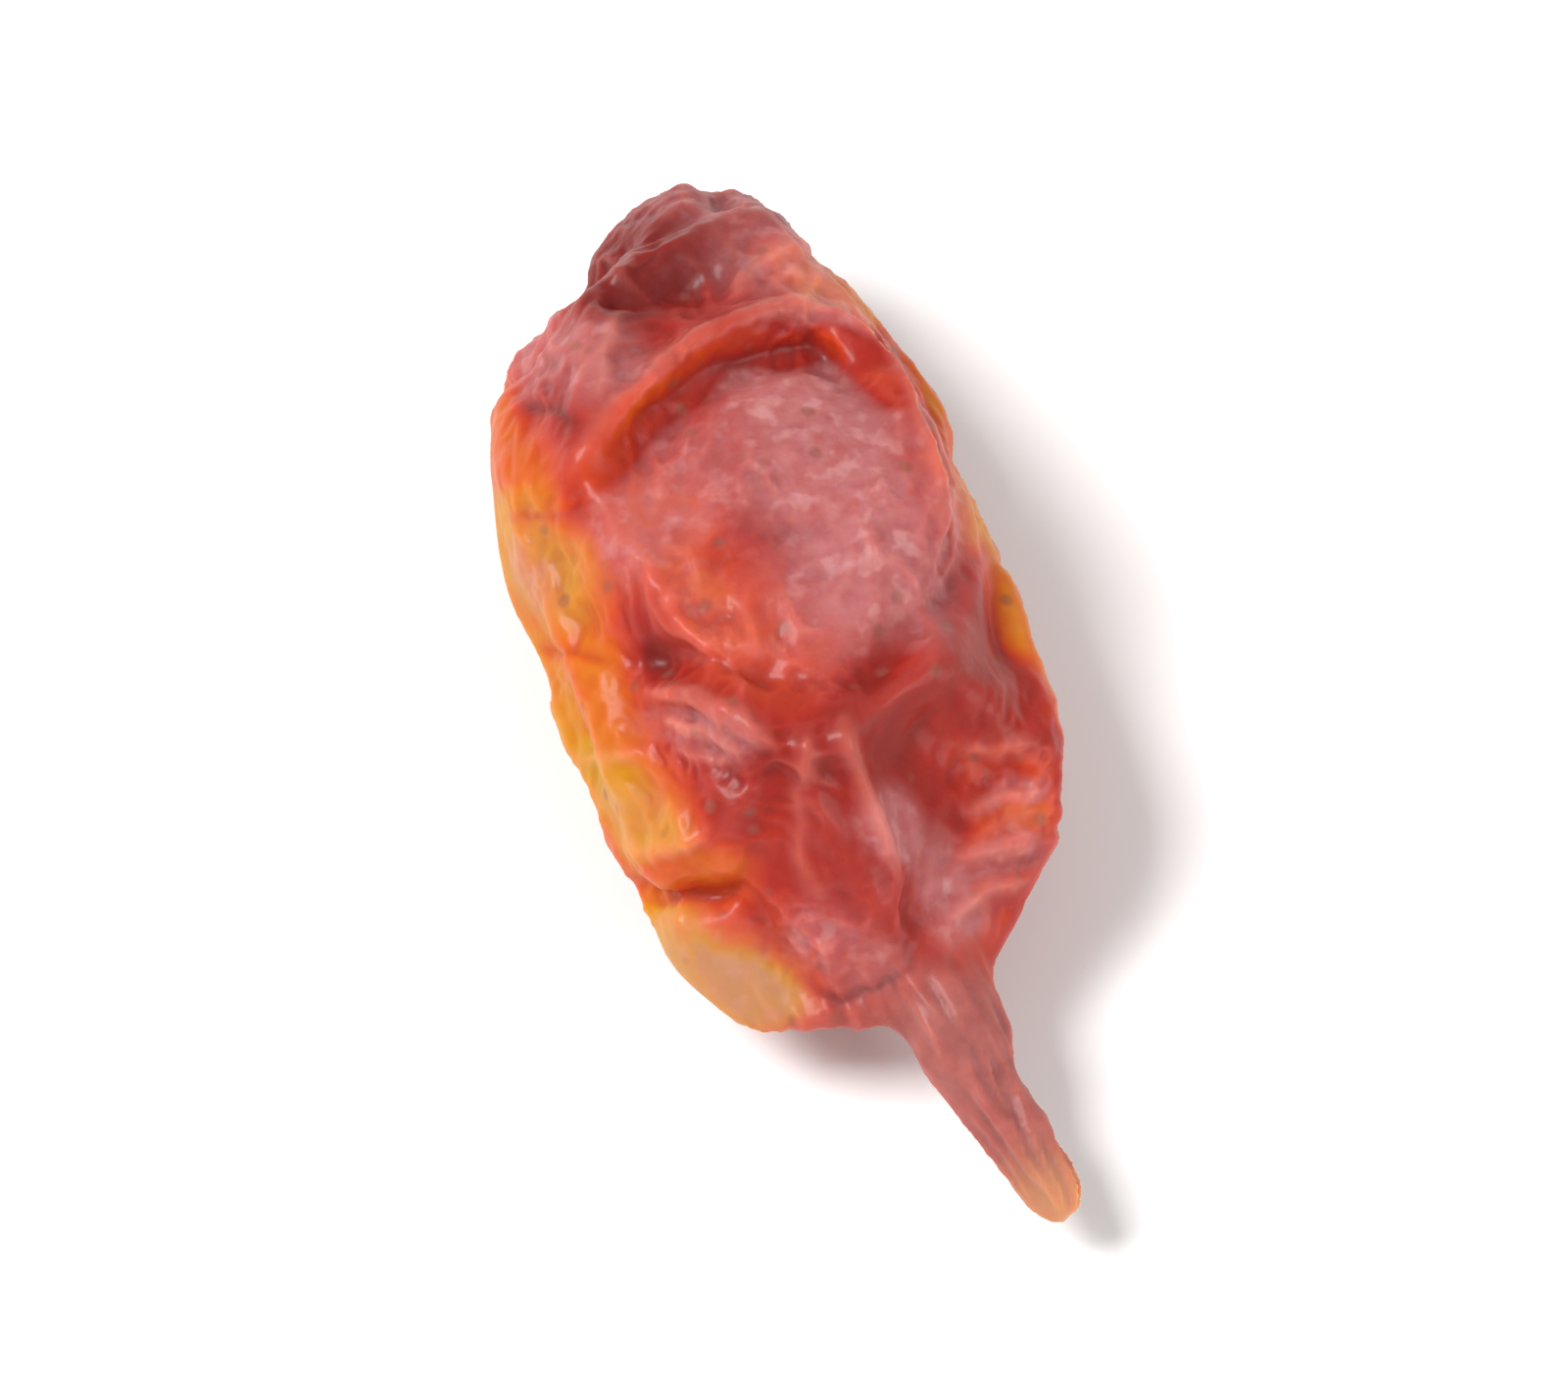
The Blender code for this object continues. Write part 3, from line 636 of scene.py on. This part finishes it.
def mix_node(tree, share, first, second):
    node = tree.nodes.new("ShaderNodeMix")
    node.data_type = "RGBA"
    for number, value in ((MIX_SHARE, share), (MIX_FIRST, first), (MIX_SECOND, second)):
        socket = node.inputs[number]
        if isinstance(value, tuple):
            socket.default_value = (*value, 1)
        else:
            tree.links.new(value, socket)
    return node.outputs[MIX_RESULT]


def flesh_colour(tree, crease):
    """The colour of the flesh seen through the skin, with painted shade in sunk creases."""
    mottle = math_node(tree, "MULTIPLY_ADD", noise_value(tree, *MOTTLE), MOTTLE_SPAN, -MOTTLE_SPAN / 2)
    flesh = math_node(tree, "ADD", attribute_value(tree, "flesh"), mottle)
    # Painted shade: sunk creases are pushed down the ramp towards deep red
    sunk = math_node(tree, "MULTIPLY", math_node(tree, "MINIMUM", crease, 0.0), CREASE_PAINTED_SHADE)
    ramp = ramp_node(tree, FLESH_COLOURS)
    tree.links.new(math_node(tree, "ADD", flesh, sunk), ramp.inputs["Fac"])
    return ramp.outputs["Color"]


def sheen_and_dust_value(tree):
    """How much painted sheen and dry dusting lies on the skin, broken up by its grain."""
    grainy = math_node(tree, "MULTIPLY_ADD", noise_value(tree, *SHEEN_AND_DUST_GRAIN), SHEEN_AND_DUST_SPAN, SHEEN_AND_DUST_LEAST)
    return math_node(tree, "MULTIPLY", attribute_value(tree, "sheen_and_bloom"), grainy)


def body_colour(tree, sheen_and_dust):
    """The colour of the skin on the body, with its painted sheen and dry dusting, painted glint flecks,
    creases with painted shade and highlights, scales and scar.
    """
    crease = attribute_value(tree, "crease")
    # Painted sheen and dry dusting: the flesh colour is veiled with mauve
    sheened_and_bloomed = mix_node(tree, sheen_and_dust, flesh_colour(tree, crease), SHEEN_AND_BLOOM_COLOUR)
    # Painted glints: pale flecks where the painted sheen lies
    shown = math_node(tree, "MULTIPLY", sheen_and_dust, GLINT_FLECK_STRENGTH)
    glint_flecked = mix_node(tree, math_node(tree, "MULTIPLY", glint_fleck_value(tree), shown), sheened_and_bloomed, GLINT_FLECK_COLOUR)
    # Painted highlight: lifted creases are paled towards pink
    lifted = math_node(tree, "MULTIPLY", math_node(tree, "MAXIMUM", crease, 0.0), CREASE_PAINTED_HIGHLIGHT)
    with_ridge_highlight = mix_node(tree, lifted, glint_flecked, CREASE_HIGHLIGHT_COLOUR)
    scales = math_node(tree, "MULTIPLY", scale_value(tree), SCALE_STRENGTH)
    scaly = mix_node(tree, scales, with_ridge_highlight, SCALE_COLOUR)
    return mix_node(tree, attribute_value(tree, "scar"), scaly, SCAR_COLOUR)


def stalk_colour(tree):
    """The blotched bark of the stalk, paler at its tip."""
    blotched = mix_node(tree, noise_value(tree, *BLOTCHES), STALK_DARK_COLOUR, STALK_COLOUR)
    return mix_node(tree, attribute_value(tree, "tip"), blotched, STALK_TIP_COLOUR)


def skin_material():
    material = bpy.data.materials.new("dried_skin")
    material.use_nodes = True
    tree = material.node_tree
    link = tree.links.new
    shader = tree.nodes["Principled BSDF"]
    for name, value in SKIN_VALUES.items():
        shader.inputs[name].default_value = value
    stalk = attribute_value(tree, "stalk")
    sheen_and_dust = sheen_and_dust_value(tree)
    link(mix_node(tree, stalk, body_colour(tree, sheen_and_dust), stalk_colour(tree)), shader.inputs["Base Color"])
    dry = math_node(tree, "MAXIMUM", sheen_and_dust, stalk)
    link(math_node(tree, "MULTIPLY_ADD", dry, DRY_ROUGHNESS, ROUGHNESS), shader.inputs["Roughness"])
    pores = tree.nodes.new("ShaderNodeBump")
    pores.inputs["Strength"].default_value = PORE_STRENGTH
    pores.inputs["Distance"].default_value = PORE_DEPTH * MM
    link(noise_value(tree, *PORES), pores.inputs["Height"])
    link(pores.outputs["Normal"], shader.inputs["Normal"])
    return material


def make_berry():
    berry = bpy.data.objects.new("berry_skin", skin_mesh(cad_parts["berry"]))
    bpy.context.scene.collection.objects.link(berry)
    berry.data.materials.append(skin_material())
    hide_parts("berry")
    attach(berry, "root")


def make_floor():
    bpy.ops.mesh.primitive_plane_add(size=FLOOR_SIZE * MM)
    floor = bpy.context.object
    floor.name = "floor"
    material = bpy.data.materials.new("pale_floor")
    material.use_nodes = True
    shader = material.node_tree.nodes["Principled BSDF"]
    shader.inputs["Base Color"].default_value = FLOOR_COLOUR
    shader.inputs["Specular IOR Level"].default_value = 0
    floor.data.materials.append(material)


def make_light(name, place, size, power):
    lamp = bpy.data.lights.new(name, "AREA")
    lamp.size = size * MM
    lamp.energy = power
    holder = bpy.data.objects.new(name, lamp)
    bpy.context.scene.collection.objects.link(holder)
    holder.location = Vector(place) * MM
    holder.rotation_mode = "QUATERNION"
    holder.rotation_quaternion = (-holder.location).to_track_quat("-Z", "Y")


def make_lights():
    for name, (place, size, power) in LAMPS.items():
        make_light(name, place, size, power)
    world = bpy.data.worlds.new("studio")
    bpy.context.scene.world = world
    world.use_nodes = True
    background = world.node_tree.nodes["Background"]
    background.inputs["Color"].default_value = (1, 1, 1, 1)
    background.inputs["Strength"].default_value = SURROUNDINGS
    bpy.context.scene.view_settings.view_transform = "Standard"


def make_camera():
    points = points_of(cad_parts["berry"].data)
    across = points @ RIGHTWARD
    up = points @ UPWARD
    middle = RIGHTWARD * (across.min() + across.max()) / 2 + UPWARD * (up.min() + up.max()) / 2
    lens = bpy.data.cameras.new("camera")
    lens.sensor_width = SENSOR_WIDTH
    lens.lens = SENSOR_WIDTH * CAMERA_DISTANCE / (VIEW_HEIGHT * PHOTO_SIZE[0] / PHOTO_SIZE[1])
    lens.clip_start = NEAREST_SEEN * MM
    camera = bpy.data.objects.new("camera", lens)
    bpy.context.scene.collection.objects.link(camera)
    turn = Matrix([RIGHTWARD, UPWARD, TOWARDS]).transposed().to_4x4()
    place = Vector(middle + TOWARDS * CAMERA_DISTANCE * MM)
    camera.matrix_world = Matrix.Translation(place) @ turn
    bpy.context.scene.camera = camera


noise.seed_set(WRINKLE_SEED)
make_berry()
make_floor()
make_lights()
make_camera()
